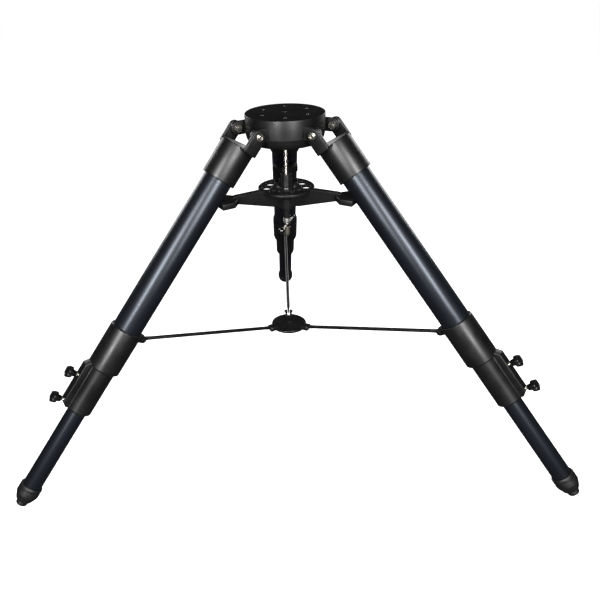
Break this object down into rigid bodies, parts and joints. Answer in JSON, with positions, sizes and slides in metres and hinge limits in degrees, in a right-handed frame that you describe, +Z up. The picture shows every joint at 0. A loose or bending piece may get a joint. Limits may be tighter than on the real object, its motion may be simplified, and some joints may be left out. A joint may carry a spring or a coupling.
{
  "type": "equatorial mount field tripod",
  "caption": "Low, heavy field tripod that carries an equatorial telescope mount, with folding telescopic tube legs, a tension tray and a lower spreader.",
  "frame": {"origin": "where the tripod's vertical axis meets the floor, in the plane of the three feet", "axes": "+Z up along the centre rod; the front is -Y, between the left and right legs; the third leg points to +Y"},
  "size_m": [1.4932, 1.3012, 0.9203],
  "materials": {
    "powder_coated_casting": "fine-textured satin black powder coat on cast aluminium",
    "blued_tube": "smooth satin blue-black coating on steel tube",
    "painted_strut": "satin black paint",
    "bright_steel": "plain machined steel",
    "zinc": "dull zinc plate",
    "gloss_ball": "polished black phenolic",
    "knob_plastic": "satin black moulded plastic",
    "collar_plastic": "satin black moulded plastic",
    "foot_rubber": "matte moulded rubber"
  },
  "bodies": {
    "head": {"head_casting": "powder_coated_casting", "pivot_bolt_a_left": "bright_steel", "pivot_bolt_b_left": "bright_steel", "pivot_nut_a_left": "bright_steel", "pivot_nut_b_left": "bright_steel", "pivot_bolt_a_right": "bright_steel", "pivot_bolt_b_right": "bright_steel", "pivot_nut_a_right": "bright_steel", "pivot_nut_b_right": "bright_steel", "pivot_bolt_a_rear": "bright_steel", "pivot_bolt_b_rear": "bright_steel", "pivot_nut_a_rear": "bright_steel", "pivot_nut_b_rear": "bright_steel"},
    "tray": {"tray_spreader": "powder_coated_casting", "rod_spacer": "collar_plastic", "tension_collar": "collar_plastic", "thrust_ring": "bright_steel"},
    "rod_handle": {"centre_rod": "bright_steel", "handle_boss": "gloss_ball", "handle_nut": "zinc", "tommy_bar": "bright_steel", "bar_ball_front": "gloss_ball", "bar_ball_back": "gloss_ball"},
    "leg_left": {"fork_casting_left": "powder_coated_casting", "upper_tube_left": "blued_tube", "lock_casting_left": "powder_coated_casting", "strut_pin_left": "painted_strut"},
    "lower_leg_left": {"lower_tube_left": "blued_tube", "foot_boot_left": "foot_rubber", "foot_tip_left": "foot_rubber"},
    "knob_upper_left": {"lock_stud_upper_left": "bright_steel", "lock_knob_upper_left": "knob_plastic"},
    "knob_lower_left": {"lock_stud_lower_left": "bright_steel", "lock_knob_lower_left": "knob_plastic"},
    "strut_body_left": {"strut_left": "painted_strut"},
    "leg_right": {"fork_casting_right": "powder_coated_casting", "upper_tube_right": "blued_tube", "lock_casting_right": "powder_coated_casting", "strut_pin_right": "painted_strut"},
    "lower_leg_right": {"lower_tube_right": "blued_tube", "foot_boot_right": "foot_rubber", "foot_tip_right": "foot_rubber"},
    "knob_upper_right": {"lock_stud_upper_right": "bright_steel", "lock_knob_upper_right": "knob_plastic"},
    "knob_lower_right": {"lock_stud_lower_right": "bright_steel", "lock_knob_lower_right": "knob_plastic"},
    "strut_body_right": {"strut_right": "painted_strut"},
    "leg_rear": {"fork_casting_rear": "powder_coated_casting", "upper_tube_rear": "blued_tube", "lock_casting_rear": "powder_coated_casting", "strut_pin_rear": "painted_strut"},
    "lower_leg_rear": {"lower_tube_rear": "blued_tube", "foot_boot_rear": "foot_rubber", "foot_tip_rear": "foot_rubber"},
    "knob_upper_rear": {"lock_stud_upper_rear": "bright_steel", "lock_knob_upper_rear": "knob_plastic"},
    "knob_lower_rear": {"lock_stud_lower_rear": "bright_steel", "lock_knob_lower_rear": "knob_plastic"},
    "strut_body_rear": {"strut_rear": "painted_strut"},
    "spreader_hub": {"lower_hub": "powder_coated_casting"}
  },
  "joints": [
    {"name": "leg_fold_left", "type": "hinge", "parent": "head", "child": "leg_left", "pos_m": [-0.09699, -0.056, 0.88629], "axis": [0.5, -0.866, 0], "range_deg": [0, 8]},
    {"name": "leg_fold_right", "type": "hinge", "parent": "head", "child": "leg_right", "pos_m": [0.09699, -0.056, 0.88629], "axis": [0.5, 0.866, 0], "range_deg": [0, 8]},
    {"name": "leg_fold_rear", "type": "hinge", "parent": "head", "child": "leg_rear", "pos_m": [0, 0.112, 0.88629], "axis": [-1, 0, 0], "range_deg": [0, 8]},
    {"name": "strut_swing_left", "type": "hinge", "parent": "leg_left", "child": "strut_body_left", "pos_m": [-0.39295, -0.22687, 0.39501], "axis": [-0.5, 0.866, 0], "range_deg": [0, 32.8]},
    {"name": "strut_swing_right", "type": "hinge", "parent": "leg_right", "child": "strut_body_right", "pos_m": [0.39295, -0.22687, 0.39501], "axis": [-0.5, -0.866, 0], "range_deg": [0, 32.8]},
    {"name": "strut_swing_rear", "type": "hinge", "parent": "leg_rear", "child": "strut_body_rear", "pos_m": [0, 0.45373, 0.39501], "axis": [1, 0, 0], "range_deg": [0, 32.8]},
    {"name": "hub_drop", "type": "slide", "parent": "head", "child": "spreader_hub", "axis": [0, 0, -1], "range_m": [0, 0.2019]},
    {"name": "tray_drop", "type": "slide", "parent": "head", "child": "tray", "axis": [0, 0, -1], "range_m": [0, 0.0577]},
    {"name": "rod_turn", "type": "hinge", "parent": "tray", "child": "rod_handle", "pos_m": [0, 0, 0.61629], "axis": [0, 0, 1], "continuous": true},
    {"name": "leg_extend_left", "type": "slide", "parent": "leg_left", "child": "lower_leg_left", "axis": [-0.5567, -0.3214, -0.766], "range_m": [-0.22, 0.2]},
    {"name": "leg_extend_right", "type": "slide", "parent": "leg_right", "child": "lower_leg_right", "axis": [0.5567, -0.3214, -0.766], "range_m": [-0.22, 0.2]},
    {"name": "leg_extend_rear", "type": "slide", "parent": "leg_rear", "child": "lower_leg_rear", "axis": [0, 0.6428, -0.766], "range_m": [-0.22, 0.2]},
    {"name": "knob_turn_upper_left", "type": "hinge", "parent": "leg_left", "child": "knob_upper_left", "pos_m": [-0.56258, -0.32481, 0.36226], "axis": [-0.6634, -0.383, 0.6428], "range_deg": [0, 360]},
    {"name": "knob_turn_lower_left", "type": "hinge", "parent": "leg_left", "child": "knob_lower_left", "pos_m": [-0.60545, -0.34956, 0.30328], "axis": [-0.6634, -0.383, 0.6428], "range_deg": [0, 360]},
    {"name": "knob_turn_upper_right", "type": "hinge", "parent": "leg_right", "child": "knob_upper_right", "pos_m": [0.56258, -0.32481, 0.36226], "axis": [0.6634, -0.383, 0.6428], "range_deg": [0, 360]},
    {"name": "knob_turn_lower_right", "type": "hinge", "parent": "leg_right", "child": "knob_lower_right", "pos_m": [0.60545, -0.34956, 0.30328], "axis": [0.6634, -0.383, 0.6428], "range_deg": [0, 360]},
    {"name": "knob_turn_upper_rear", "type": "hinge", "parent": "leg_rear", "child": "knob_upper_rear", "pos_m": [0, 0.64962, 0.36226], "axis": [0, 0.766, 0.6428], "range_deg": [0, 360]},
    {"name": "knob_turn_lower_rear", "type": "hinge", "parent": "leg_rear", "child": "knob_lower_rear", "pos_m": [0, 0.69911, 0.30328], "axis": [0, 0.766, 0.6428], "range_deg": [0, 360]}
  ],
  "couplings": [
    {"joint": "leg_fold_right", "follows": "leg_fold_left", "ratio": 1},
    {"joint": "leg_fold_rear", "follows": "leg_fold_left", "ratio": 1},
    {"joint": "strut_swing_left", "follows": "leg_fold_left", "ratio": 4.087},
    {"joint": "strut_swing_right", "follows": "leg_fold_left", "ratio": 4.087},
    {"joint": "strut_swing_rear", "follows": "leg_fold_left", "ratio": 4.087},
    {"joint": "hub_drop", "follows": "leg_fold_left", "m_per_rad": 1.4454},
    {"joint": "tray_drop", "follows": "leg_fold_left", "m_per_rad": 0.4125}
  ]
}
